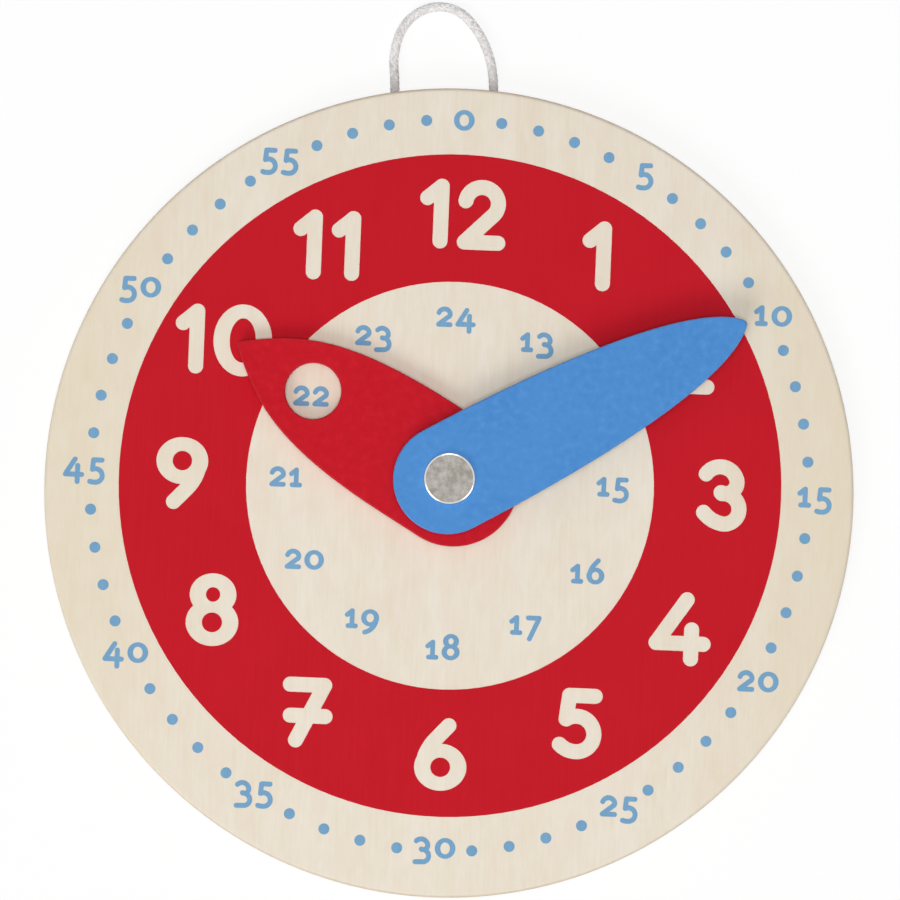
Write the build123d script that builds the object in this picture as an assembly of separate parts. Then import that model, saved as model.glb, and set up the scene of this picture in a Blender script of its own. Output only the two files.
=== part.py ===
"""A wooden teaching clock: a round plywood dial with two loose hands that a child turns by hand.

Frame: millimetres. The clock lies on its back, so z = 0 is the board's back face, +Z points out of
the dial and +Y points to twelve. The origin is the centre of the board's back face.
"""
from build123d import *
from math import cos, pi, radians, sin, tan
import os

# ---------------------------------------------------------------------------------------------
# Driving dimensions, in millimetres and degrees
# ---------------------------------------------------------------------------------------------

# Board
board_diameter = 220.0
board_thickness = 8.0
board_edge_ease = 1.2  # rounding of the rim, front and back
dial_rise = 2.0  # the printed dial's centre, above the board's centre
band_drift = 0.2  # how far to the right of the blue print the red one came out
pivot_rise = 4.0  # the pivot, above the board's centre

# Printed dial
ink_thickness = 0.1
minute_track_width = 20.0  # bare wood around the red ring
band_width = 34.6  # the red ring's
minute_dot_diameter = 3.0
minute_dot_offset_across = 7.6  # from the red ring's outer edge out to the dots at 3 and 9
minute_dot_offset_up = 9.4  # and out to the dots at 12 and 6
minute_numeral_offset = 9.3  # from the same edge out to the middle of the numerals
hour_numeral_offset = 0.7  # from the middle of the red ring outwards
day_numeral_offset = 11.0  # from the red ring's inner edge inwards
hour_numerals_right = 0.7  # the centre of the twelve hour numerals, from the dial's centre
hour_numerals_up = 0.4
day_numerals_up = 0.6  # the centre of the afternoon hours, above the dial's centre

# Numerals: ink height of a tall digit, of a low digit, width of the pen and gap between digits
hour_digit_height = 19.0
hour_digit_stroke = 4.1
hour_digit_gap = 2.5
minute_digit_height = 7.4
minute_digit_low = 5.7
minute_digit_stroke = 1.35
minute_digit_gap = 0.9
day_digit_height = 7.0
day_digit_low = 5.4
day_digit_stroke = 1.3
day_digit_gap = 0.8
small_digit_width = 0.92  # how much narrower the small digits are drawn than the large ones
large_ring_stress = 0.08  # how much a large ring thickens at its sides and thins above and below
small_ring_stress = 0.12

# Hands, each a flat leaf of painted plywood: round behind the pivot and pointed at the tip
hand_thickness = 4.0
hand_edge_ease = 0.5
hand_tip_rounding = 1.2

hour_hand_length = 68.6  # from the pivot to the tip
hour_hand_width = 35.5
hour_hand_setback = 1.3  # centre of the round end, behind the pivot
hour_hand_shoulder = 10.0  # where the straight sides end, ahead of the pivot
hour_hand_flank_pull = 35.3  # how far the side runs on along its own line
hour_hand_tip_pull = 16.9  # how far the side runs back from the tip along the tip's line
hour_hand_tip_angle = 40.3  # half the angle of the tip
hour_hand_angle = 300.3  # clockwise from twelve
window_diameter = 15.2
window_to_tip = 24.7  # from the window's centre to the hand's tip

minute_hand_length = 91.0
minute_hand_width = 29.6
minute_hand_setback = 0.5
minute_hand_shoulder = 4.0
minute_hand_flank_pull = 22.1
minute_hand_tip_pull = 16.9
minute_hand_tip_angle = 53.2
minute_hand_angle = 59.9

# Pivot: a sleeve nut with a plain head, and a screw from behind
barrel_diameter = 6.0
barrel_head_diameter = 14.0
barrel_head_thickness = 1.7
barrel_head_rounding = 0.8
hand_hole_clearance = 0.06  # radial, between the barrel and each hand
board_hole_clearance = 0.05  # radial, between the barrel and the board
washer_hole_clearance = 0.1  # radial, between the barrel and each washer
screw_diameter = 4.0
screw_thread_clearance = 0.05  # radial
screw_thread_length = 10.0
screw_bore_spare = 1.5  # depth of the barrel's bore past the screw's end
screw_head_diameter = 10.0
screw_head_thickness = 1.4
screw_head_rounding = 0.5
recess_length = 4.6
recess_width = 0.9
recess_depth = 0.9

# Washers
felt_washer_diameter = 14.0
felt_washer_thickness = 0.8
rear_washer_diameter = 13.0
rear_washer_thickness = 0.6
spring_diameter = 12.0
spring_thickness = 0.3
spring_height = 0.9  # over the whole cone

# Rear recess that lets the board lie flat over the screw
recess_wall_clearance = 1.5  # radial, around the rear washer
screw_head_cover = 0.3  # how far the screw's head stays inside the back face

# Hanging cord, a limp braid glued into two blind holes in the rim
cord_diameter = 2.5
cord_hole_clearance = 0.1  # radial, filled with glue

# ---------------------------------------------------------------------------------------------
# Sizes and heights that follow from them
# ---------------------------------------------------------------------------------------------

board_radius = board_diameter / 2
dial_centre = (0.0, dial_rise)
band_centre = (band_drift, dial_rise)
pivot_centre = (0.0, pivot_rise)
hour_numeral_centre = (hour_numerals_right, dial_rise + hour_numerals_up)
day_numeral_centre = (0.0, dial_rise + day_numerals_up)

band_outer_radius = board_radius - minute_track_width
band_inner_radius = band_outer_radius - band_width
minute_dot_reach_across = band_outer_radius + minute_dot_offset_across
minute_dot_reach_up = band_outer_radius + minute_dot_offset_up
minute_numeral_radius = band_outer_radius + minute_numeral_offset
hour_numeral_radius = (band_outer_radius + band_inner_radius) / 2 + hour_numeral_offset
day_numeral_radius = band_inner_radius - day_numeral_offset

hour_hand_base = board_thickness + felt_washer_thickness
hand_washer_base = hour_hand_base + hand_thickness
minute_hand_base = hand_washer_base + felt_washer_thickness
barrel_head_base = minute_hand_base + hand_thickness

screw_head_top = screw_head_cover + screw_head_thickness
spring_base = screw_head_top + rear_washer_thickness
rear_recess_depth = spring_base + spring_height
rear_recess_diameter = rear_washer_diameter + 2 * recess_wall_clearance

hand_hole_radius = barrel_diameter / 2 + hand_hole_clearance
board_hole_radius = barrel_diameter / 2 + board_hole_clearance
washer_hole_radius = barrel_diameter / 2 + washer_hole_clearance
cord_hole_radius = cord_diameter / 2 + cord_hole_clearance
cord_hole_height = board_thickness / 2

# The cord's route, chosen by hand: up out of the left hole, over in a low arch that lies on the
# table beyond the board's top, and back into the right hole
cord_route = [
    (-19.1, board_radius - 7.4, cord_hole_height),
    (-19.1, board_radius + 0.4, cord_hole_height),
    (-20.2, board_radius + 8.5, 3.3),
    (-17.8, board_radius + 17.5, 1.9),
    (-10.9, board_radius + 22.6, 1.3),
    (-2.8, board_radius + 22.1, 1.3),
    (3.2, board_radius + 15.9, 1.9),
    (6.6, board_radius + 8.4, 3.3),
    (7.8, board_radius + 0.8, cord_hole_height),
    (7.8, board_radius - 6.6, cord_hole_height),
]

# ---------------------------------------------------------------------------------------------
# Numerals
# ---------------------------------------------------------------------------------------------

# Each digit is a few strokes of a round pen, drawn on a grid whose unit is the height between the
# pen's lowest and highest centre. x runs right from the digit's left side and y up from its foot.
# A "pen" stroke gives its start and then its steps: a "line" to a point, an "arc" through one point
# to another, or a "bend", which is an arc that carries on smoothly to a point. A "ring" is an
# ellipse, given by its centre and its two radii.
large_digits = {
    0: [("ring", (0.386, 0.5), (0.386, 0.5305))],
    1: [("pen", (0.0, 0.78), ("line", (0.256, 1.0)), ("line", (0.256, 0.0)))],
    2: [
        (
            "pen", (0.0, 0.752), ("arc", (0.305, 1.006), (0.591, 0.752)), ("bend", (0.493, 0.488)),
            ("line", (0.0, 0.0)), ("line", (0.611, 0.0)),
        ),
    ],
    3: [
        ("pen", (0.02, 0.862), ("arc", (0.333, 0.997), (0.578, 0.784)), ("bend", (0.304, 0.532))),
        (
            "pen", (0.323, 0.513), ("arc", (0.588, 0.397), (0.642, 0.213)),
            ("bend", (0.323, -0.034)), ("bend", (0.0, 0.16)),
        ),
    ],
    4: [
        ("pen", (0.536, 1.055), ("line", (0.0, 0.255)), ("line", (0.859, 0.255))),
        ("pen", (0.64, 0.509), ("line", (0.64, -0.019))),
    ],
    5: [
        (
            "pen", (0.618, 0.99), ("line", (0.151, 0.99)), ("line", (0.104, 0.556)),
            ("arc", (0.33, 0.612), (0.622, 0.293)), ("bend", (0.311, -0.033)),
            ("bend", (0.0, 0.09)),
        ),
    ],
    6: [
        ("ring", (0.345, 0.279), (0.329, 0.303)),
        ("pen", (0.022, 0.295), ("arc", (0.087, 0.555), (0.238, 0.785)), ("line", (0.472, 1.042))),
    ],
    7: [
        ("pen", (0.0, 1.003), ("line", (0.625, 1.003)), ("line", (0.134, -0.01))),
        ("pen", (0.02, 0.437), ("line", (0.655, 0.437))),
    ],
    8: [
        ("ring", (0.345, 0.778), (0.278, 0.259)),
        ("ring", (0.345, 0.269), (0.332, 0.306)),
    ],
    9: [
        ("ring", (0.345, 0.715), (0.325, 0.303)),
        ("pen", (0.662, 0.7), ("arc", (0.597, 0.44), (0.445, 0.21)), ("line", (0.213, -0.037))),
    ],
}

# The small figures are drawn narrower, with a footed 1, a 3 and a 5 with flat tails, a longer
# upright in the 4, a 7 without its bar and a 9 with a longer tail
small_digits = {
    0: [("ring", (0.37, 0.5), (0.37, 0.51))],
    1: [
        ("pen", (0.0, 0.73), ("line", (0.26, 1.0)), ("line", (0.26, 0.0))),
        ("pen", (0.06, 0.0), ("line", (0.45, 0.0))),
    ],
    2: [
        (
            "pen", (0.0, 0.77), ("arc", (0.30, 1.03), (0.58, 0.77)), ("bend", (0.48, 0.50)),
            ("line", (0.0, 0.0)), ("line", (0.60, 0.0)),
        ),
    ],
    3: [
        ("pen", (0.02, 0.93), ("arc", (0.35, 1.01), (0.58, 0.79)), ("bend", (0.28, 0.57))),
        (
            "pen", (0.30, 0.55), ("arc", (0.58, 0.44), (0.65, 0.27)), ("bend", (0.38, 0.0)),
            ("bend", (0.0, -0.01)),
        ),
    ],
    4: [
        ("pen", (0.45, 1.0), ("line", (0.0, 0.32)), ("line", (0.80, 0.32))),
        ("pen", (0.59, 0.72), ("line", (0.59, 0.0))),
    ],
    5: [
        (
            "pen", (0.56, 1.0), ("line", (0.15, 1.0)), ("line", (0.11, 0.57)),
            ("arc", (0.42, 0.57), (0.60, 0.29)), ("bend", (0.32, 0.0)), ("bend", (0.0, 0.03)),
        ),
    ],
    6: [
        ("ring", (0.33, 0.285), (0.325, 0.30)),
        ("pen", (0.02, 0.30), ("arc", (0.08, 0.56), (0.23, 0.79)), ("line", (0.45, 1.02))),
    ],
    7: [("pen", (0.0, 1.0), ("line", (0.57, 1.0)), ("line", (0.10, 0.0)))],
    8: [
        ("ring", (0.335, 0.79), (0.275, 0.25)),
        ("ring", (0.335, 0.27), (0.33, 0.28)),
    ],
    9: [
        ("ring", (0.335, 0.69), (0.33, 0.31)),
        ("pen", (0.66, 0.70), ("arc", (0.52, 0.28), (0.08, 0.0))),
    ],
}

low_digits = (0, 1, 2)  # small figures without a tall stroke
hanging_digits = (3, 4, 5, 7, 9)  # small figures that reach below the line


def pen_path(start, steps, place):
    """The line that the middle of the pen follows."""
    edges = []
    here = place(start)
    for kind, *points in steps:
        there = place(points[-1])
        if kind == "line":
            edge = Line(here, there)
        elif kind == "arc":
            edge = ThreePointArc(here, place(points[0]), there)
        else:
            edge = TangentArc(here, there, tangent=edges[-1] % 1)
        edges.append(edge.edge())
        here = there
    return Wire(edges)


def ring_edge(centre, radii, unit_x, unit_y, side, cap):
    """A filled ring out to one of its edges, which lie a half pen outside or inside its middle."""
    edge = Ellipse(radii[0] * unit_x + side, radii[1] * unit_y + cap)
    return Pos(centre[0] * unit_x, centre[1] * unit_y) * edge


def pen_face(start, steps, unit_x, unit_y, pen):
    """One pen stroke as a flat face, with the grid's units in millimetres."""
    path = pen_path(start, steps, lambda point: (point[0] * unit_x, point[1] * unit_y))
    return make_face(path.offset_2d(pen / 2).edges())


def digit_face(digit, shapes, unit_x, unit_y, pen, stress):
    """A whole digit, with its ink starting at x = 0 and its foot standing on y = 0."""
    side, cap = pen * (1 + stress) / 2, pen * (1 - stress) / 2
    face = Sketch()
    for kind, start, *steps in shapes[digit]:
        if kind == "ring":
            face += ring_edge(start, steps[0], unit_x, unit_y, side, cap)
        else:
            face += pen_face(start, steps, unit_x, unit_y, pen)
    for kind, start, *steps in shapes[digit]:  # the holes come last, so that no stroke fills them
        if kind == "ring":
            face -= ring_edge(start, steps[0], unit_x, unit_y, -side, -cap)
    return Pos(-face.bounding_box().min.X, pen / 2) * face


def row_of_digits(faces, gap):
    """Digits side by side, with the same gap of bare wood between them."""
    row = Sketch()
    reach = 0.0
    for face in faces:
        row += Pos(reach, 0) * face
        reach += face.bounding_box().size.X + gap
    return row


def large_numeral(number):
    """An hour numeral in the large round digits."""
    pen = hour_digit_stroke
    unit = hour_digit_height - pen
    faces = [
        digit_face(int(digit), large_digits, unit, unit, pen, large_ring_stress)
        for digit in str(number)
    ]
    return row_of_digits(faces, hour_digit_gap)


def small_numeral(number, height, low, pen, gap):
    """A numeral in the small old-style figures, some low and some hanging below the line."""
    unit_x = (height - pen) * small_digit_width
    faces = []
    for digit in (int(d) for d in str(number)):
        tall = low if digit in low_digits else height
        drop = height - low if digit in hanging_digits else 0.0
        face = digit_face(digit, small_digits, unit_x, tall - pen, pen, small_ring_stress)
        faces.append(Pos(0, -drop) * face)
    return row_of_digits(faces, gap)


def at_clock(centre, radius, degrees):
    """The point at a distance from a centre, an angle clockwise from twelve."""
    angle = radians(degrees)
    return centre[0] + radius * sin(angle), centre[1] + radius * cos(angle)


def dot_place(minute):
    """The middle of a minute's dot. The dots stand on an oval that is a touch taller than wide."""
    angle = radians(6 * minute)
    across, up = minute_dot_reach_across * sin(angle), minute_dot_reach_up * cos(angle)
    return dial_centre[0] + across, dial_centre[1] + up


def centred_on(face, place):
    """A face moved so that the middle of its ink is at a point."""
    middle = face.bounding_box().center()
    return Pos(place[0] - middle.X, place[1] - middle.Y) * face


def printed(face):
    """A flat face as a skin of ink on the board's front."""
    return Pos(0, 0, board_thickness) * extrude(face, ink_thickness)


# ---------------------------------------------------------------------------------------------
# Pieces
# ---------------------------------------------------------------------------------------------


def tube(outer_radius, inner_radius, base, height):
    """A plain washer or ring around the pivot."""
    body = Cylinder(outer_radius, height, align=(Align.CENTER, Align.CENTER, Align.MIN))
    bore = Cylinder(inner_radius, height, align=(Align.CENTER, Align.CENTER, Align.MIN))
    return Pos(*pivot_centre, base) * (body - bore)


def pivot_cylinder(radius, low, high):
    """A round bar on the pivot's axis, from one height to another."""
    bar = Cylinder(radius, high - low, align=(Align.CENTER, Align.CENTER, Align.MIN))
    return Pos(*pivot_centre, low) * bar


def cord_hole(blind_end):
    """The hole that holds one end of the cord, drilled straight down into the rim."""
    x, y, z = blind_end
    drill = Cylinder(cord_hole_radius, board_radius, align=(Align.CENTER, Align.CENTER, Align.MIN))
    return Pos(x, y, z) * Rot(-90, 0, 0) * drill


def make_dial_board():
    board = Cylinder(board_radius, board_thickness, align=(Align.CENTER, Align.CENTER, Align.MIN))
    board = fillet(board.edges().filter_by(GeomType.CIRCLE), board_edge_ease)
    board -= pivot_cylinder(board_hole_radius, 0, board_thickness)
    board -= pivot_cylinder(rear_recess_diameter / 2, 0, rear_recess_depth)
    board -= cord_hole(cord_route[0])
    board -= cord_hole(cord_route[-1])
    return board


def make_hour_band_print():
    """The red ring, with the twelve hour numerals left as bare wood."""
    band = Circle(band_outer_radius) - Circle(band_inner_radius)
    band = Pos(*band_centre) * band
    for hour in range(1, 13):
        place = at_clock(hour_numeral_centre, hour_numeral_radius, 30 * hour)
        band -= centred_on(large_numeral(hour), place)
    return printed(band)


def make_minute_scale_print():
    """A dot for each minute, and every fifth minute as a numeral from 0 to 55."""
    marks = Sketch()
    for minute in range(60):
        if minute % 5:
            marks += Pos(*dot_place(minute)) * Circle(minute_dot_diameter / 2)
            continue
        numeral = small_numeral(
            minute, minute_digit_height, minute_digit_low, minute_digit_stroke, minute_digit_gap
        )
        place = at_clock(dial_centre, minute_numeral_radius, 6 * minute)
        marks += centred_on(numeral, place)
    return printed(marks)


def make_day_hour_print():
    """The afternoon hours 13 to 24, inside the red ring."""
    marks = Sketch()
    for hour in range(13, 25):
        numeral = small_numeral(
            hour, day_digit_height, day_digit_low, day_digit_stroke, day_digit_gap
        )
        place = at_clock(day_numeral_centre, day_numeral_radius, 30 * hour)
        marks += centred_on(numeral, place)
    return printed(marks)


def hand_outline(length, width, setback, shoulder, flank_pull, tip_pull, tip_angle):
    """The flat outline of a hand that points along +Y, with its pivot at the origin."""
    side = width / 2
    back = CenterArc((0, -setback), side, 180, 180)
    slope = radians(tip_angle)
    edges = [back.edge()]
    for sign in (1, -1):
        shoulder_point = (sign * side, shoulder)
        flank_handle = (sign * side, shoulder + flank_pull)
        tip_handle = (sign * tip_pull * sin(slope), length - tip_pull * cos(slope))
        edges.append(Line((sign * side, -setback), shoulder_point).edge())
        edges.append(Bezier(shoulder_point, flank_handle, tip_handle, (0, length)).edge())
    outline = make_face(edges)
    return fillet(outline.vertices().sort_by(Axis.Y)[-1], hand_tip_rounding)


def make_hand(outline, base, degrees):
    """A hand cut from its outline, with eased edges, turned to its place on the dial."""
    hand = extrude(outline, hand_thickness)
    flat_edges = hand.edges().group_by(Axis.Z)
    hand = fillet(flat_edges[0] + flat_edges[-1], hand_edge_ease)
    hand -= Cylinder(hand_hole_radius, 2 * hand_thickness)
    return Pos(*pivot_centre, base) * hand.rotate(Axis.Z, -degrees)


def make_hour_hand():
    outline = hand_outline(
        hour_hand_length, hour_hand_width, hour_hand_setback, hour_hand_shoulder,
        hour_hand_flank_pull, hour_hand_tip_pull, hour_hand_tip_angle,
    )
    outline -= Pos(0, hour_hand_length - window_to_tip) * Circle(window_diameter / 2)
    return make_hand(outline, hour_hand_base, hour_hand_angle)


def make_minute_hand():
    outline = hand_outline(
        minute_hand_length, minute_hand_width, minute_hand_setback, minute_hand_shoulder,
        minute_hand_flank_pull, minute_hand_tip_pull, minute_hand_tip_angle,
    )
    return make_hand(outline, minute_hand_base, minute_hand_angle)


def make_pivot_barrel():
    """The sleeve nut: a plain head in front and a smooth barrel with a threaded bore behind."""
    head_top = barrel_head_base + barrel_head_thickness
    head = pivot_cylinder(barrel_head_diameter / 2, barrel_head_base, head_top)
    head = fillet(head.edges().group_by(Axis.Z)[-1], barrel_head_rounding)
    barrel = head + pivot_cylinder(barrel_diameter / 2, screw_head_top, barrel_head_base)
    bore_top = screw_head_top + screw_thread_length + screw_bore_spare
    bore_radius = screw_diameter / 2 + screw_thread_clearance
    return barrel - pivot_cylinder(bore_radius, screw_head_top, bore_top)


def make_pivot_screw():
    """The screw from behind, with a cross recess in its low head."""
    head = pivot_cylinder(screw_head_diameter / 2, screw_head_cover, screw_head_top)
    head = fillet(head.edges().group_by(Axis.Z)[0], screw_head_rounding)
    thread_end = screw_head_top + screw_thread_length
    screw = head + pivot_cylinder(screw_diameter / 2, screw_head_top, thread_end)
    blade = Box(recess_length, recess_width, recess_depth, align=(Align.CENTER, Align.CENTER, Align.MIN))
    for turn in (0, 90):
        screw -= Pos(*pivot_centre, screw_head_cover) * Rot(0, 0, turn) * blade
    return screw


def make_felt_washer(base):
    return tube(felt_washer_diameter / 2, washer_hole_radius, base, felt_washer_thickness)


def make_rear_washer():
    return tube(rear_washer_diameter / 2, washer_hole_radius, screw_head_top, rear_washer_thickness)


def make_spring_washer():
    """A conical disc spring that keeps the hands from swinging down by themselves."""
    outer = spring_diameter / 2
    section = make_face(
        Polyline(
            (washer_hole_radius, 0, 0),
            (outer, 0, spring_height - spring_thickness),
            (outer, 0, spring_height),
            (washer_hole_radius, 0, spring_thickness),
            close=True,
        ).edges()
    )
    return Pos(*pivot_centre, spring_base) * revolve(section, Axis.Z)


def make_hanging_cord():
    """The cord as straight runs joined by arcs, each as large as its two runs allow."""
    points = [Vector(*point) for point in cord_route]
    runs = [after - before for before, after in zip(points, points[1:])]
    radii = [
        0.45 * min(before.length, after.length) / tan(radians(before.get_angle(after)) / 2)
        for before, after in zip(runs, runs[1:])
    ]
    path = FilletPolyline(*points, radius=radii)
    section = Plane(origin=points[0], z_dir=runs[0]) * Circle(cord_diameter / 2)
    cord = sweep(section, path=path)
    ideal = pi * cord_diameter**2 / 4 * path.length
    print("cord radii", [round(radius, 1) for radius in radii])
    print("cord length", round(path.length, 1), "volume over ideal", round(cord.volume / ideal, 4))
    return cord


pieces = {
    "dial_board": make_dial_board(),
    "hour_band_print": make_hour_band_print(),
    "minute_scale_print": make_minute_scale_print(),
    "day_hour_print": make_day_hour_print(),
    "board_washer": make_felt_washer(board_thickness),
    "hour_hand": make_hour_hand(),
    "hand_washer": make_felt_washer(hand_washer_base),
    "minute_hand": make_minute_hand(),
    "pivot_barrel": make_pivot_barrel(),
    "pivot_screw": make_pivot_screw(),
    "rear_washer": make_rear_washer(),
    "spring_washer": make_spring_washer(),
    "hanging_cord": make_hanging_cord(),
}

os.makedirs("parts", exist_ok=True)
for name, shape in pieces.items():
    shape.label = name
    export_step(shape, f"parts/{name}.step")
    print(name, "solids", len(shape.solids()), "volume", round(shape.volume, 1))
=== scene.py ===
# %% [markdown]
# # A wooden teaching clock
#
# The clock is a round plywood board with a printed dial, two painted wooden hands on one metal
# pivot, and a short braided cord to hang it by. Every solid piece already exists as a CAD model at
# its real size. This lesson dresses that model: it gives each piece the finish that it has in the
# hand, braids the cord, and sets the camera and the lamps.
#
# The first cell loads the CAD model. From then on every length is in metres, in the same frame:
# the board lies on its back on z = 0, +Z points out of the dial and +Y points to twelve.

# %% The fixed frame
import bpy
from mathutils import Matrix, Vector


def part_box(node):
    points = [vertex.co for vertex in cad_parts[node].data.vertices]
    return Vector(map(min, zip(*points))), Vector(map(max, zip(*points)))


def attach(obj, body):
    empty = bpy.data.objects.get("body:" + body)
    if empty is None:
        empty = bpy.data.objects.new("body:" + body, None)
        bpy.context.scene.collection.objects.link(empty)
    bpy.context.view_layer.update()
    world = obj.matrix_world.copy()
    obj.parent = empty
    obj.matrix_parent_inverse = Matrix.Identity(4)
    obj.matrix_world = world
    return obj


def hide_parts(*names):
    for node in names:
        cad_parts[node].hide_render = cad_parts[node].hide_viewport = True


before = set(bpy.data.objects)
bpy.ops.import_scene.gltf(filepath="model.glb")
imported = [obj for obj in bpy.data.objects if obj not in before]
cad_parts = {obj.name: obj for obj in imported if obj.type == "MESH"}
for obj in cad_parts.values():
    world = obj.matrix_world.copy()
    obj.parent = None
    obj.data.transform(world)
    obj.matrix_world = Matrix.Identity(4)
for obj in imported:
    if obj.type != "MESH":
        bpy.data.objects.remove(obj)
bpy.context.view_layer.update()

# %% The tools of this lesson
from math import cos, pi, radians, sin

import bpy
from mathutils import Vector

mm = 0.001


def deselect_everything():
    """An operator acts on all that is selected, so each step starts with nothing selected."""
    bpy.ops.object.select_all(action="DESELECT")


deselect_everything()
print("one millimetre is", mm, "metres here")

# %% [markdown]
# ## The camera
#
# The clock is seen from straight above, and a touch turned, as a hand would lay it down. A long
# lens far away keeps the round board round and shows almost nothing of the hands' sides. The
# picture is square, so the lens follows from the width that it has to take in at the dial.

# %% Camera
camera_height = 1.5  # above the dial
picture_width = 244.45 * mm  # at the dial
sensor_width = 36.0
dial_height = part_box("dial_board")[1][2]
picture_centre = (-0.184 * mm, 11.70 * mm)
picture_turn = 2.36  # degrees

camera_data = bpy.data.cameras.new("camera")
camera_data.sensor_width = sensor_width
camera_data.lens = sensor_width * camera_height / picture_width
camera = bpy.data.objects.new("camera", camera_data)
camera.location = (*picture_centre, dial_height + camera_height)
camera.rotation_euler = (0, 0, radians(picture_turn))
bpy.context.scene.collection.objects.link(camera)
bpy.context.scene.camera = camera
print("lens", round(camera_data.lens, 1), "mm")

# %% [markdown]
# ## The hanging cord
#
# A limp braid leaves one hole in the rim, lies in a low arch on the table and goes back into a
# second hole. Its route is a short list of points, and a NURBS curve runs smoothly past them. The
# order and the ends of that curve are set after its points are in, or the curve stays a row of
# straight runs.

# %% The cord's route
cord_diameter = 2.5 * mm
line_steps = 40  # of the smooth line, for each stretch of the route
cord_route = [
    (-19.1, 102.6, 4.0),
    (-19.1, 110.4, 4.0),
    (-20.2, 118.5, 3.3),
    (-17.8, 127.5, 1.9),
    (-10.9, 132.6, 1.3),
    (-2.8, 132.1, 1.3),
    (3.2, 125.9, 1.9),
    (6.6, 118.4, 3.3),
    (7.8, 110.8, 4.0),
    (7.8, 103.4, 4.0),
]


def smooth_line(points, steps):
    """Points along the NURBS curve that runs past a list of points given in millimetres."""
    curve = bpy.data.curves.new("route", "CURVE")
    curve.dimensions = "3D"
    spline = curve.splines.new("NURBS")
    spline.points.add(len(points) - 1)
    for place, point in zip(spline.points, points):
        place.co = (*(Vector(point) * mm), 1.0)
    spline.order_u = 3
    spline.use_endpoint_u = True
    spline.resolution_u = steps
    carrier = bpy.data.objects.new("route", curve)
    bpy.context.scene.collection.objects.link(carrier)
    bpy.context.view_layer.update()
    mesh = bpy.data.meshes.new_from_object(carrier)
    line = [vertex.co.copy() for vertex in mesh.vertices]
    bpy.data.meshes.remove(mesh)
    bpy.data.objects.remove(carrier)
    bpy.data.curves.remove(curve)
    return line


cord_line = smooth_line(cord_route, line_steps)
cord_steps = [(b - a).length for a, b in zip(cord_line, cord_line[1:])]
cord_length = sum(cord_steps)
print("cord", round(cord_length / mm, 1), "mm along", len(cord_line), "points")

# %% [markdown]
# ### Braiding it
#
# A braid is two sets of yarns that wind round the same line in opposite directions, and pass over
# and under each other at every crossing. So a yarn's distance from the middle rises and falls as a
# cosine along the way, and the other set does the opposite. Each yarn is a flat oval section swept
# along such a path, and a plain core inside stops the light from shining through. A UV map runs
# along each yarn, so that its fibres can follow it later.

# %% Frames along the line


def carried_frames(line):
    """For each point: the way along the line, and a side direction that turns as little as possible."""
    frames = []
    side = Vector((0, 0, 1))
    for index in range(len(line)):
        before = line[max(index - 1, 0)]
        after = line[min(index + 1, len(line) - 1)]
        along = (after - before).normalized()
        side = (side - along * side.dot(along)).normalized()
        frames.append((along, side.copy(), along.cross(side)))
    return frames


cord_frames = carried_frames(cord_line)
cord_reach = [0.0]
for step in cord_steps:
    cord_reach.append(cord_reach[-1] + step)
print("frames", len(cord_frames))

# %% Yarns
yarns_each_way = 6
yarn_width = 1.02 * mm
yarn_thickness = 0.42 * mm
braid_pitch = 9.0 * mm  # length of one turn round the cord
braid_wave = 0.12 * mm  # how far a yarn rises and sinks at the crossings
braid_radius = cord_diameter / 2 - yarn_thickness / 2 - braid_wave / 2
yarn_sides = 10
core_sides = 16


def yarn_path(number, direction):
    """Where one yarn's middle runs, with the outward and sideways directions there."""
    path = []
    for place, (along, side, across), reach in zip(cord_line, cord_frames, cord_reach):
        phase = 2 * pi * reach / braid_pitch
        angle = 2 * pi * number / yarns_each_way + direction * phase
        out = side * cos(angle) + across * sin(angle)
        around = across * cos(angle) - side * sin(angle)
        radius = braid_radius + direction * braid_wave * cos(yarns_each_way * phase)
        slope = direction * 2 * pi * radius / braid_pitch
        run = (along + around * slope).normalized()
        path.append((place + out * radius, out, run.cross(out), reach))
    return path


def sweep_oval(vertices, faces, shades, path, half_width, half_thickness, sides, shade):
    """Adds a closed oval tube along a path, and notes reach, turn and shade for its UV map."""
    first = len(vertices)
    for place, out, wide, reach in path:
        for corner in range(sides):
            angle = 2 * pi * corner / sides
            vertices.append(place + wide * half_width * cos(angle) + out * half_thickness * sin(angle))
            shades.append((reach, corner / sides, shade))
    rings = len(path)
    for ring in range(rings - 1):
        for corner in range(sides):
            here = first + ring * sides + corner
            beside = first + ring * sides + (corner + 1) % sides
            faces.append((here, beside, beside + sides, here + sides))
    faces.append(tuple(first + corner for corner in reversed(range(sides))))
    faces.append(tuple(first + (rings - 1) * sides + corner for corner in range(sides)))


vertices, faces, notes = [], [], []
core_path = [
    (place, side, across, reach)
    for place, (along, side, across), reach in zip(cord_line, cord_frames, cord_reach)
]
core_radius = braid_radius - braid_wave
sweep_oval(vertices, faces, notes, core_path, core_radius, core_radius, core_sides, 0.0)
for number in range(yarns_each_way):
    for direction in (1, -1):
        shade = (number + 0.5) / yarns_each_way
        path = yarn_path(number, direction)
        sweep_oval(vertices, faces, notes, path, yarn_width / 2, yarn_thickness / 2, yarn_sides, shade)

cord_mesh = bpy.data.meshes.new("braided_cord")
cord_mesh.from_pydata(vertices, [], faces)
cord_uv = cord_mesh.uv_layers.new(name="yarn")
for loop in cord_mesh.loops:
    reach, turn, shade = notes[loop.vertex_index]
    cord_uv.data[loop.index].uv = (reach / mm, turn + 2 * yarns_each_way * shade)
cord_mesh.polygons.foreach_set("use_smooth", [True] * len(cord_mesh.polygons))
cord_mesh.update()
braided_cord = bpy.data.objects.new("braided_cord", cord_mesh)
bpy.context.scene.collection.objects.link(braided_cord)
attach(braided_cord, "dial")
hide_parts("hanging_cord")
print("cord", len(cord_mesh.polygons), "faces,", 2 * yarns_each_way, "yarns")

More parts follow.
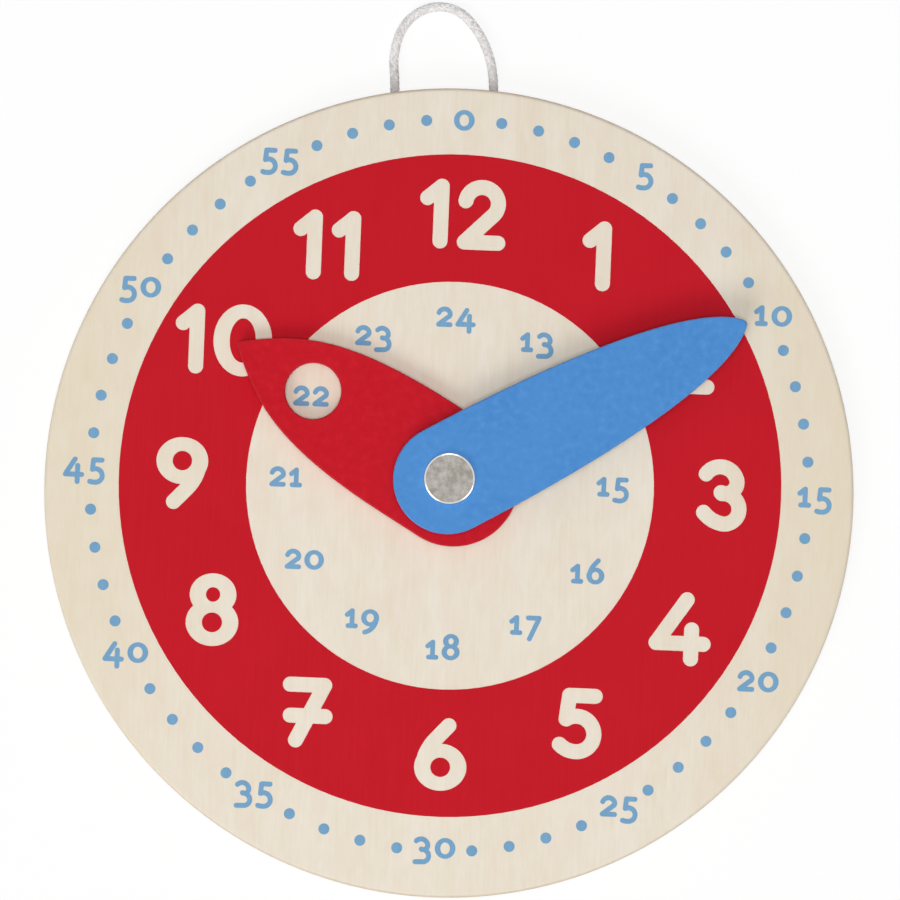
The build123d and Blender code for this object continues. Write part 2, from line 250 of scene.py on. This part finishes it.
# %% [markdown]
# ## The board
#
# A plywood disc is sawn, drilled and sanded, and it is made in the same order here. A cylinder with
# many sides is the blank. Bevelling the edges of its two round faces is the sanding: the CAD model
# has the same rounding, but in long thin triangles, and on those the plies at the rim come out
# ragged. Each hole is a cylinder that is taken away with a Boolean modifier.

# %% Discs and drilling
pivot_low, pivot_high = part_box("rear_washer")
pivot = ((pivot_low[0] + pivot_high[0]) / 2, (pivot_low[1] + pivot_high[1]) / 2)


def disc(name, middle, radius, low, high, sides):
    """A closed cylinder that stands on Z, with its place in its mesh."""
    deselect_everything()
    bpy.ops.mesh.primitive_cylinder_add(
        vertices=sides, radius=radius, depth=high - low, location=(*middle, (low + high) / 2)
    )
    blank = bpy.context.object
    blank.name = name
    bpy.ops.object.transform_apply(location=True, rotation=True, scale=True)
    return blank


def drill(piece, cutter):
    """Takes the cutter's shape out of the piece, and puts the cutter away."""
    cut = piece.modifiers.new("drill", "BOOLEAN")
    cut.operation = "DIFFERENCE"
    cut.object = cutter
    bpy.context.view_layer.objects.active = piece
    bpy.ops.object.modifier_apply(modifier=cut.name)
    bpy.data.objects.remove(cutter)


print("pivot at", [round(value / mm, 2) for value in pivot], "mm")

# %% Sanding
sanding_steps = 7


def sand_rims(piece, radius):
    """Rounds the edges of a blank's two flat faces."""
    deselect_everything()
    piece.select_set(True)
    bpy.context.view_layer.objects.active = piece
    bpy.ops.object.mode_set(mode="EDIT")
    bpy.ops.mesh.select_mode(type="EDGE")
    bpy.ops.mesh.select_all(action="DESELECT")
    bpy.ops.object.mode_set(mode="OBJECT")
    heights = [vertex.co.z for vertex in piece.data.vertices]
    for edge in piece.data.edges:
        start, end = edge.vertices
        edge.select = abs(heights[start] - heights[end]) < 0.01 * mm
    bpy.ops.object.mode_set(mode="EDIT")
    bpy.ops.mesh.bevel(offset=radius, segments=sanding_steps)
    bpy.ops.object.mode_set(mode="OBJECT")


print("rims take", sanding_steps, "steps")

# %% Making the board
board_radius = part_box("dial_board")[1][0]
board_sides = 288
rim_rounding = 1.2 * mm
barrel_hole_radius = 3.05 * mm
recess_radius = (pivot_high[0] - pivot_low[0]) / 2 + 1.5 * mm
recess_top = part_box("spring_washer")[1][2]
cord_hole_radius = cord_diameter / 2 + 0.1 * mm
hole_sides = 64
cord_hole_sides = 24
past = 5 * mm  # how far a cutter sticks out of the wood
board_crease = radians(30)  # an edge sharper than this stays sharp in the shading

plywood_board = disc("plywood_board", (0, 0), board_radius, 0, dial_height, board_sides)
sand_rims(plywood_board, rim_rounding)
drill(plywood_board, disc("bit", pivot, barrel_hole_radius, -past, dial_height + past, hole_sides))
drill(plywood_board, disc("bit", pivot, recess_radius, -past, recess_top, hole_sides))
for hole_x, hole_start, hole_z in (cord_route[0], cord_route[-1]):
    upright = (hole_x * mm, -hole_z * mm)  # made standing, then laid over into the rim
    bit = disc(
        "bit", upright, cord_hole_radius, hole_start * mm, board_radius + past, cord_hole_sides
    )
    bpy.ops.transform.rotate(value=radians(90), orient_axis="X", center_override=(0, 0, 0))
    bpy.ops.object.transform_apply(location=True, rotation=True, scale=True)
    middle = sum((vertex.co for vertex in bit.data.vertices), Vector()) / len(bit.data.vertices)
    print("cord hole's middle", [round(value / mm, 1) for value in middle])
    drill(plywood_board, bit)

deselect_everything()
plywood_board.select_set(True)
bpy.context.view_layer.objects.active = plywood_board
bpy.ops.object.shade_smooth_by_angle(angle=board_crease)
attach(plywood_board, "dial")
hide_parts("dial_board")
print("board", len(plywood_board.data.polygons), "faces")

# %% [markdown]
# ## Felt washers
#
# Felt is pressed wool, so its cut edge is never clean. Each washer starts as a drilled disc, is
# remade of small even faces, and is then pushed about by soft noise along X and along Y only: its
# edge turns fuzzy while its two faces stay flat against the wood.

# %% Making the felt
felt_grain = 0.22 * mm
felt_fuzz = 0.35 * mm
barrel_radius = 3.0 * mm
felt_sides = 96
punch_sides = 48
felt_crease = radians(40)

fuzz_noise = bpy.data.textures.new("fuzz", "CLOUDS")
fuzz_noise.noise_scale = 0.8 * mm


def make_felt(node):
    """A fuzzy washer in the place of a plain one, and a touch smaller before it is pushed about."""
    low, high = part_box(node)
    middle = ((low[0] + high[0]) / 2, (low[1] + high[1]) / 2)
    radius = (high[0] - low[0]) / 2 - felt_fuzz / 2
    hole_radius = barrel_radius + felt_fuzz
    washer = disc(node + "_felt", middle, radius, low[2], high[2], felt_sides)
    drill(washer, disc("punch", middle, hole_radius, low[2] - past, high[2] + past, punch_sides))
    even = washer.modifiers.new("even", "REMESH")
    even.mode = "VOXEL"
    even.voxel_size = felt_grain
    bpy.ops.object.modifier_apply(modifier=even.name)
    for direction in ("X", "Y"):
        push = washer.modifiers.new("push", "DISPLACE")
        push.texture = fuzz_noise
        push.direction = direction
        push.strength = felt_fuzz * 2
        push.texture_coords = "GLOBAL"
        bpy.ops.object.modifier_apply(modifier=push.name)
    bpy.ops.object.shade_smooth_by_angle(angle=felt_crease)
    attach(washer, "dial")
    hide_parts(node)
    return washer


felt_washers = [make_felt(node) for node in ("board_washer", "hand_washer")]
print("felt faces", [len(washer.data.polygons) for washer in felt_washers])

# %% [markdown]
# ## Writing finishes as sums
#
# A procedural finish is mostly arithmetic on noise. Typing it as node after node hides the idea, so
# one small class wraps a socket and lets Python's own signs add the Math nodes. Its `node` method
# adds any other node.

# %% A socket that understands sums


class Signal:
    """A node's output in one material, with sums written as Math nodes."""

    def __init__(self, tree, socket=None):
        self.tree = tree
        self.socket = socket

    def node(self, kind, settings=None, inputs=None, output=0):
        """Adds a node: its settings first, then the values or links of its sockets."""
        made = self.tree.nodes.new("ShaderNode" + kind)
        for name, value in (settings or {}).items():
            if name == "stops":
                while len(made.color_ramp.elements) < len(value):
                    made.color_ramp.elements.new(0.5)
                for element, (position, colour) in zip(made.color_ramp.elements, value):
                    element.position = position
                    element.color = (*colour, 1.0)
            else:
                setattr(made, name, value)
        for name, value in (inputs or {}).items():
            if isinstance(value, Signal):
                self.tree.links.new(value.socket, made.inputs[name])
            else:
                made.inputs[name].default_value = value
        return Signal(self.tree, made.outputs[output])

    def sum(self, operation, first, second=0.0):
        return self.node("Math", {"operation": operation}, {0: first, 1: second})

    def __add__(self, other):
        return self.sum("ADD", self, other)

    def __sub__(self, other):
        return self.sum("SUBTRACT", self, other)

    def __mul__(self, other):
        return self.sum("MULTIPLY", self, other)

    def __gt__(self, other):
        return self.sum("GREATER_THAN", self, other)

    def __lt__(self, other):
        return self.sum("LESS_THAN", self, other)

    def __abs__(self):
        return self.sum("ABSOLUTE", self)

    def __radd__(self, other):
        return self.sum("ADD", other, self)

    def __rsub__(self, other):
        return self.sum("SUBTRACT", other, self)

    def __rmul__(self, other):
        return self.sum("MULTIPLY", other, self)

    def between(self, low, high):
        """0 below one value and 1 above another, with a soft ramp between them."""
        ramp = {"interpolation_type": "SMOOTHSTEP"}
        return self.node("MapRange", ramp, {"Value": self, "From Min": low, "From Max": high})


def place_in_mm(signal, stretch=(1, 1, 1)):
    """Object coordinates in millimetres, squeezed along an axis to make grain run that way."""
    spot = signal.node("TexCoord", output="Object")
    scale = tuple(squeeze / mm for squeeze in stretch)
    return signal.node("Mapping", {}, {"Vector": spot, "Scale": scale})


def noise(place, size, detail=2.0, roughness=0.5, distortion=0.0):
    """Soft noise with blotches of about that size, from 0 to 1."""
    return place.node("TexNoise", {}, {
        "Vector": place, "Scale": 1 / size, "Detail": detail, "Roughness": roughness,
        "Distortion": distortion,
    })


def mix(first, second, amount):
    """Blends two colours, given as triples or signals."""
    signal = amount if isinstance(amount, Signal) else first
    inputs = {"Factor": amount}
    for name, colour in ((6, first), (7, second)):
        inputs[name] = colour if isinstance(colour, Signal) else (*colour, 1.0)
    return signal.node("Mix", {"data_type": "RGBA"}, inputs, output=2)


def srgb(red, green, blue):
    """A colour as it is seen on a screen, 0 to 255, as the linear values that a shader wants."""
    levels = (level / 255 for level in (red, green, blue))
    return tuple(v / 12.92 if v <= 0.04045 else ((v + 0.055) / 1.055) ** 2.4 for v in levels)


def finish(name, build, **uniform):
    """A material whose shader's own sockets hold what is uniform, and whose rest `build` wires."""
    material = bpy.data.materials.new(name)
    material.use_nodes = True
    tree = material.node_tree
    tree.nodes.clear()
    shader = tree.nodes.new("ShaderNodeBsdfPrincipled")
    output = tree.nodes.new("ShaderNodeOutputMaterial")
    tree.links.new(shader.outputs[0], output.inputs["Surface"])
    for socket, value in uniform.items():
        shader.inputs[socket.replace("_", " ")].default_value = value
    for socket, signal in build(Signal(tree)).items():
        tree.links.new(signal.socket, shader.inputs[socket])
    return material


def bumped(height, depth, strength=1.0):
    """A Normal from a height signal whose full range is `depth` metres."""
    return height.node("Bump", {}, {"Height": height, "Distance": depth, "Strength": strength})


def dress(node, material):
    """Gives a CAD node its finish."""
    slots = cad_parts[node].data.materials
    slots.clear()
    slots.append(material)


print("ready to write finishes")

# %% [markdown]
# ## Plywood
#
# The board is five plies of pale wood, each with its grain across its neighbours'. A texture that
# fills space gives both views at once: from the front the top ply shows short faint streaks, and at
# the rim the same wood is cut through, so the plies show as bands, light where the grain runs along
# the edge and darker where it ends there. Thin glue lines part them.

# %% The board's wood
face_ply = 1.25  # thickness of the outer plies, mm
inner_ply = 1.8
board_middle = dial_height / mm / 2
golden_from = 60.0  # the wood turns golden from here to its left and right edges, mm
golden_to = 105.0
pale_wood = srgb(232, 224, 210)
warm_wood = srgb(224, 210, 188)
golden_wood = srgb(221, 207, 177)
rosy_wood = srgb(228, 210, 196)
end_wood = srgb(190, 160, 120)
glue_line = srgb(150, 118, 80)


def grain(signal, axis):
    """One ply's wood: broad faint figure, short streaks and pores along an axis, from 0 to 1."""
    def drawn_out(squeeze):
        return place_in_mm(signal, tuple(squeeze if way == axis else 1 for way in range(3)))
    figure = noise(drawn_out(0.05), 9.0, 3.0, 0.5, 0.6)
    flecks = noise(drawn_out(0.45), 3.4, 2.0, 0.55, 0.4)
    streaks = noise(drawn_out(0.075), 0.9, 4.0, 0.65)
    pores = noise(drawn_out(0.05), 0.22, 2.0, 0.6).between(0.66, 0.78)
    return figure * 0.5 + flecks * 0.5, streaks, pores


def build_plywood(signal):
    height = signal.node("SeparateXYZ", {}, {0: place_in_mm(signal)}, output=2)
    from_middle = abs(height - board_middle)
    inner_edge = board_middle - face_ply
    crossing = (from_middle > inner_edge - inner_ply) * (from_middle < inner_edge)
    facing = signal.node("TexCoord", output="Normal")
    facing_x = abs(signal.node("SeparateXYZ", {}, {0: facing}, output=0))
    facing_y = abs(signal.node("SeparateXYZ", {}, {0: facing}, output=1))
    ends = facing_y + crossing * (facing_x - facing_y)

    along = grain(signal, 1)
    across = grain(signal, 0)
    figure, streaks, pores = (a + crossing * (b - a) for a, b in zip(along, across))
    blush = noise(place_in_mm(signal, (1, 0.5, 1)), 7.0, 3.0, 0.6)

    colour = mix(pale_wood, warm_wood, (streaks * 0.45 + figure * 0.75).between(0.35, 0.95))
    colour = mix(colour, rosy_wood, blush.between(0.45, 0.75) * 0.35)
    sideways = abs(signal.node("SeparateXYZ", {}, {0: place_in_mm(signal)}, output=0))
    colour = mix(colour, golden_wood, sideways.between(golden_from, golden_to) * 0.4)
    colour = mix(colour, warm_wood, pores * 0.55)
    colour = mix(colour, end_wood, ends.between(0.25, 1.0) * (0.35 + 0.4 * streaks))
    line = 1 - abs(from_middle - inner_edge).between(0.03, 0.14)
    line = line + (1 - abs(from_middle - (inner_edge - inner_ply)).between(0.03, 0.14))
    colour = mix(colour, glue_line, line * 0.55)
    relief = streaks * 0.6 - pores * 0.7 - line * 0.5
    return {
        "Base Color": colour,
        "Roughness": 0.5 + 0.16 * streaks + 0.1 * ends,
        "Normal": bumped(relief, 0.06 * mm, 0.6),
    }


plywood = finish("plywood", build_plywood, Specular_IOR_Level=0.2)
plywood_board.data.materials.append(plywood)
print("plies at", [face_ply, inner_ply], "mm")

# %% [markdown]
# ## Printed ink
#
# Screen ink sinks a little into the wood, so the grain under it still shows as the faintest
# streaks, and the ink is matt.

# %% Inks
red_ink_colour = srgb(193, 25, 39)
blue_ink_colour = srgb(121, 166, 200)


def build_ink(colour, dark):
    """The wiring of an ink: its colour, and what it turns to where it lies thick."""
    def build(signal):
        streaks = noise(place_in_mm(signal, (1, 0.03, 1)), 0.9, 4.0, 0.65)
        cloud = noise(place_in_mm(signal), 14.0, 2.0)
        grit = noise(place_in_mm(signal), 0.25, 2.0)
        tone = (streaks * 0.5 + cloud * 0.3 + grit * 0.2).between(0.3, 0.7)
        return {
            "Base Color": mix(colour, dark, tone),
            "Roughness": 0.5 + 0.15 * grit,
            "Normal": bumped(streaks * 0.6 + grit * 0.4, 0.03 * mm, 0.5),
        }
    return build


red_ink = finish(
    "red_ink", build_ink(red_ink_colour, srgb(188, 21, 35)), Specular_IOR_Level=0.12
)
blue_ink = finish(
    "blue_ink", build_ink(blue_ink_colour, srgb(110, 155, 191)), Specular_IOR_Level=0.12
)
inks = {"hour_band_print": red_ink, "minute_scale_print": blue_ink, "day_hour_print": blue_ink}
for print_node, ink in inks.items():
    dress(print_node, ink)
print("ink on", sorted(inks))

# %% [markdown]
# ## Painted hands
#
# The hands are dipped in paint, which dries to a soft satin with a slightly mottled, pebbled skin.

# %% Paints


def build_paint(colour, dark, light):
    """The wiring of a dipped paint, with faint mottling in two tones."""
    def build(signal):
        mottle = noise(place_in_mm(signal), 2.2, 3.0, 0.6)
        cloud = noise(place_in_mm(signal), 17.0, 2.0)
        pebbles = noise(place_in_mm(signal), 0.45, 2.0)
        tone = mix(colour, dark, (mottle * 0.7 + cloud * 0.3).between(0.42, 0.7))
        tone = mix(tone, light, (1 - mottle).between(0.52, 0.75) * 0.7)
        return {
            "Base Color": tone,
            "Roughness": 0.36 + 0.12 * mottle,
            "Normal": bumped(pebbles * 0.5 + mottle * 0.5, 0.04 * mm, 0.5),
        }
    return build


red_paint = finish(
    "red_paint", build_paint(srgb(193, 19, 35), srgb(186, 16, 32), srgb(200, 26, 42)),
    Specular_IOR_Level=0.16,
)
blue_paint = finish(
    "blue_paint", build_paint(srgb(77, 139, 204), srgb(70, 132, 199), srgb(87, 147, 210)),
    Specular_IOR_Level=0.18,
)
dress("hour_hand", red_paint)
dress("minute_hand", blue_paint)
print("paint on both hands")

# %% [markdown]
# ## Dull metal, felt and yarn

# %% Metal
steel_light = srgb(191, 186, 179)
steel_dark = srgb(150, 146, 138)
# A lighter steel for the head's rounded edge: a painted highlight.
steel_highlight = srgb(224, 221, 218)
head_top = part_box("pivot_barrel")[1][2] / mm


def build_dull_steel(polish_and_highlight):
    """The wiring of zinc-plated steel; if asked, the head's rounded edge is made smoother and gets a
    painted highlight, a lighter base colour.
    """
    def build(signal):
        place = place_in_mm(signal)
        cloud = noise(place, 2.0, 4.0, 0.6)
        speck = noise(place, 0.3, 3.0, 0.7)
        colour = mix(steel_light, steel_dark, (cloud * 0.7 + speck * 0.3).between(0.33, 0.67))
        roughness = 0.3 + 0.22 * cloud
        height = cloud * 0.6 + speck * 0.4
        if polish_and_highlight:
            # Painted highlight: the head's rounded edge gets the lighter steel, so it shows as a bright
            # ring; its lower roughness is a smoother polish.
            level = signal.node("SeparateXYZ", {}, {0: place}, output=2)
            flat = level.between(head_top - 0.06, head_top - 0.015)
            colour = mix(steel_highlight, colour, flat)
            roughness = 0.16 + (roughness - 0.16) * flat
            height = height * flat
        return {
            "Base Color": colour,
            "Roughness": roughness,
            "Normal": bumped(height, 0.02 * mm, 0.6),
        }
    return build


dull_steel = finish("dull_steel", build_dull_steel(False), Metallic=1.0)
polished_highlit_steel = finish("polished_highlit_steel", build_dull_steel(True), Metallic=1.0)
dress("pivot_barrel", polished_highlit_steel)
for node in ("pivot_screw", "rear_washer", "spring_washer"):
    dress(node, dull_steel)
print("metal on four pieces")

# %% Felt


def build_felt(signal):
    place = place_in_mm(signal)
    fibres = noise(place, 0.35, 5.0, 0.75, 1.2)
    tufts = noise(place, 1.3, 3.0)
    return {
        "Base Color": mix(srgb(206, 200, 188), srgb(170, 163, 150), fibres.between(0.35, 0.7)),
        "Roughness": 0.9 + 0.05 * tufts,
        "Normal": bumped(fibres, 0.15 * mm, 0.8),
    }


felt = finish("felt", build_felt, Sheen_Weight=0.3, Specular_IOR_Level=0.1)
for washer in felt_washers:
    washer.data.materials.append(felt)
print("felt on", len(felt_washers), "washers")

# %% Yarn
yarn_white = srgb(243, 241, 240)
yarn_grey = srgb(206, 202, 201)
# A darker grey for the cord close to the rim: painted shade.
yarn_shade = srgb(158, 153, 150)
unshaded_half = 19.0  # the cord keeps its own colour this far each way from the middle of its arch, mm
shaded_half = 31.0  # and darkens with painted shade from here on towards the rim, where the board shades it


def build_yarn(signal):
    spot = signal.node("UVMap", {"uv_map": "yarn"})
    reach = signal.node("SeparateXYZ", {}, {0: spot}, output=0)
    turn = signal.node("SeparateXYZ", {}, {0: spot}, output=1)
    stretched = signal.node("CombineXYZ", {}, {0: reach * 1.2, 1: turn * 14.0})
    fibres = signal.node("TexNoise", {}, {"Vector": stretched, "Scale": 1.0, "Detail": 3.0})
    coarse = signal.node("CombineXYZ", {}, {0: reach * 0.25, 1: turn * 0.9})
    uneven = signal.node("TexNoise", {}, {"Vector": coarse, "Scale": 1.0, "Detail": 2.0})
    yarn_own_colour = mix(yarn_white, yarn_grey, (fibres * 0.5 + uneven * 0.5).between(0.42, 0.62))
    # Towards the rim holes the yarn's colour is darkened: painted shade, where the board's edge shades
    # the cord.
    shade_near_rim = abs(reach - cord_length / mm / 2).between(unshaded_half, shaded_half)
    return {
        "Base Color": mix(yarn_own_colour, yarn_shade, shade_near_rim * (0.35 + 0.55 * uneven)),
        "Roughness": 0.72 + 0.15 * fibres,
        "Normal": bumped(fibres, 0.08 * mm, 0.7),
    }


yarn = finish("yarn", build_yarn, Specular_IOR_Level=0.25, Sheen_Weight=0.2)
cord_mesh.materials.append(yarn)
print("yarn on the cord")

# %% [markdown]
# ## Light and floor
#
# The colours should come out about as they were written, so the light is even and white, and its
# parts add up to one. A lamp straight overhead gives half of it: what the camera sees, that lamp
# reaches too, so it throws no shadow that shows. A bright room gives a third, and dims the wood
# close to the hands. The rest comes from a soft box low towards the lower left, which throws the
# soft shadows to the upper right. Three smaller boxes near the table light nothing: they are only
# mirrored, and that shows most in the metal's rounded edge.
#
# The room and the floor are white to the camera and to reflections, whatever light they give.

# %% Who looks at a surface


def seen_directly(signal):
    """1 for the camera's own rays and for those that come off metal or pass through glass."""
    seen = signal.node("LightPath", output="Is Camera Ray")
    mirrored = signal.node("LightPath", output="Is Glossy Ray")
    through = signal.node("LightPath", output="Is Transmission Ray")
    return (seen + mirrored + through).between(0.0, 1.0)


print("white backgrounds show to camera, glossy and transmission rays")

# %% The room
room_at_floor = 0.15
room_overhead = 0.36
room_below = 0.9  # reaches nothing but the clock's back

world = bpy.data.worlds.new("room")
bpy.context.scene.world = world
world.use_nodes = True
room = Signal(world.node_tree)
way = room.node("TexCoord", output="Generated")
rise = room.node("SeparateXYZ", {}, {0: way}, output=2)
glow = room.node("MapRange", {}, {"Value": rise, "To Min": room_at_floor, "To Max": room_overhead})
glow = glow + (rise < 0.0) * (room_below - room_at_floor)
background = world.node_tree.nodes["Background"]
background.inputs["Color"].default_value = (1, 1, 1, 1)
strength = glow + seen_directly(room) * (1 - glow)
world.node_tree.links.new(strength.socket, background.inputs["Strength"])
print("room light from", room_at_floor, "to", room_overhead)

# %% Lamps


def soft_box(name, place, size, power, mirrored):
    """A square lamp that faces the dial. It lights what it reaches, or is only mirrored in it."""
    lamp = bpy.data.lights.new(name, "AREA")
    lamp.shape = "SQUARE"
    lamp.size = size
    lamp.energy = power
    holder = bpy.data.objects.new(name, lamp)
    holder.location = place
    aim = Vector((0, 0, dial_height)) - Vector(place)
    holder.rotation_euler = aim.to_track_quat("-Z", "Y").to_euler()
    holder.visible_camera = False
    holder.visible_glossy = mirrored
    holder.visible_diffuse = not mirrored
    bpy.context.scene.collection.objects.link(holder)
    return holder


soft_box("overhead", place=(0, 0, 2.0), size=0.5, power=19.4, mirrored=False)
soft_box("key", place=(-0.98, -1.84, 2.16), size=1.6, power=33.0, mirrored=False)
soft_box("glint_left", place=(-0.85, -0.75, 0.45), size=0.9, power=6.0, mirrored=True)
soft_box("glint_right", place=(0.9, -0.65, 0.4), size=0.72, power=4.2, mirrored=True)
soft_box("glint_top", place=(0.0, 1.0, 0.5), size=0.6, power=2.6, mirrored=True)
print("lamps", len(bpy.data.lights))

# %% [markdown]
# ### The floor
#
# The floor is white paper with a round well under the clock, hidden by the board. From below the
# paper is clear, and light comes up through the well, so that a view from there shows the back.

# %% Floor
floor_radius = 20.0
floor_drop = 0.02 * mm  # keeps the paper apart from the board's back face
floor_glow = 0.8  # how much of the paper is plain white to the camera and to reflections
well_sides = 96
well_radius = board_radius - rim_rounding - 0.3 * mm

deselect_everything()
bpy.ops.mesh.primitive_circle_add(vertices=well_sides, radius=well_radius, location=(0, 0, -floor_drop))
floor = bpy.context.object
floor.name = "floor"
bpy.ops.object.mode_set(mode="EDIT")
bpy.ops.mesh.select_all(action="SELECT")
bpy.ops.mesh.extrude_edges_move()
outwards = floor_radius / well_radius
bpy.ops.transform.resize(value=(outwards, outwards, 1), center_override=(0, 0, 0))
bpy.ops.object.mode_set(mode="OBJECT")
if floor.data.polygons[0].normal.z < 0:
    floor.data.flip_normals()


def build_floor():
    """White paper: it takes shadows, and shows itself white to the camera and to reflections."""
    material = bpy.data.materials.new("white_paper")
    material.use_nodes = True
    tree = material.node_tree
    tree.nodes.clear()
    signal = Signal(tree)
    paper = signal.node("BsdfDiffuse", {}, {"Color": (0.95, 0.95, 0.95, 1)})
    glow = signal.node("Emission", {}, {"Color": (1, 1, 1, 1), "Strength": 1.0})
    clear = signal.node("BsdfTransparent")
    share = floor_glow * seen_directly(signal)
    above = signal.node("MixShader", {}, {0: share, 1: paper, 2: glow})
    from_below = signal.node("NewGeometry", output="Backfacing")
    surface = signal.node("MixShader", {}, {0: from_below, 1: above, 2: clear})
    output = tree.nodes.new("ShaderNodeOutputMaterial")
    tree.links.new(surface.socket, output.inputs["Surface"])
    return material


floor.data.materials.append(build_floor())
deselect_everything()
print("floor faces", len(floor.data.polygons), "up", round(floor.data.polygons[0].normal.z, 2))

# %% View settings
bpy.context.scene.view_settings.view_transform = "Standard"
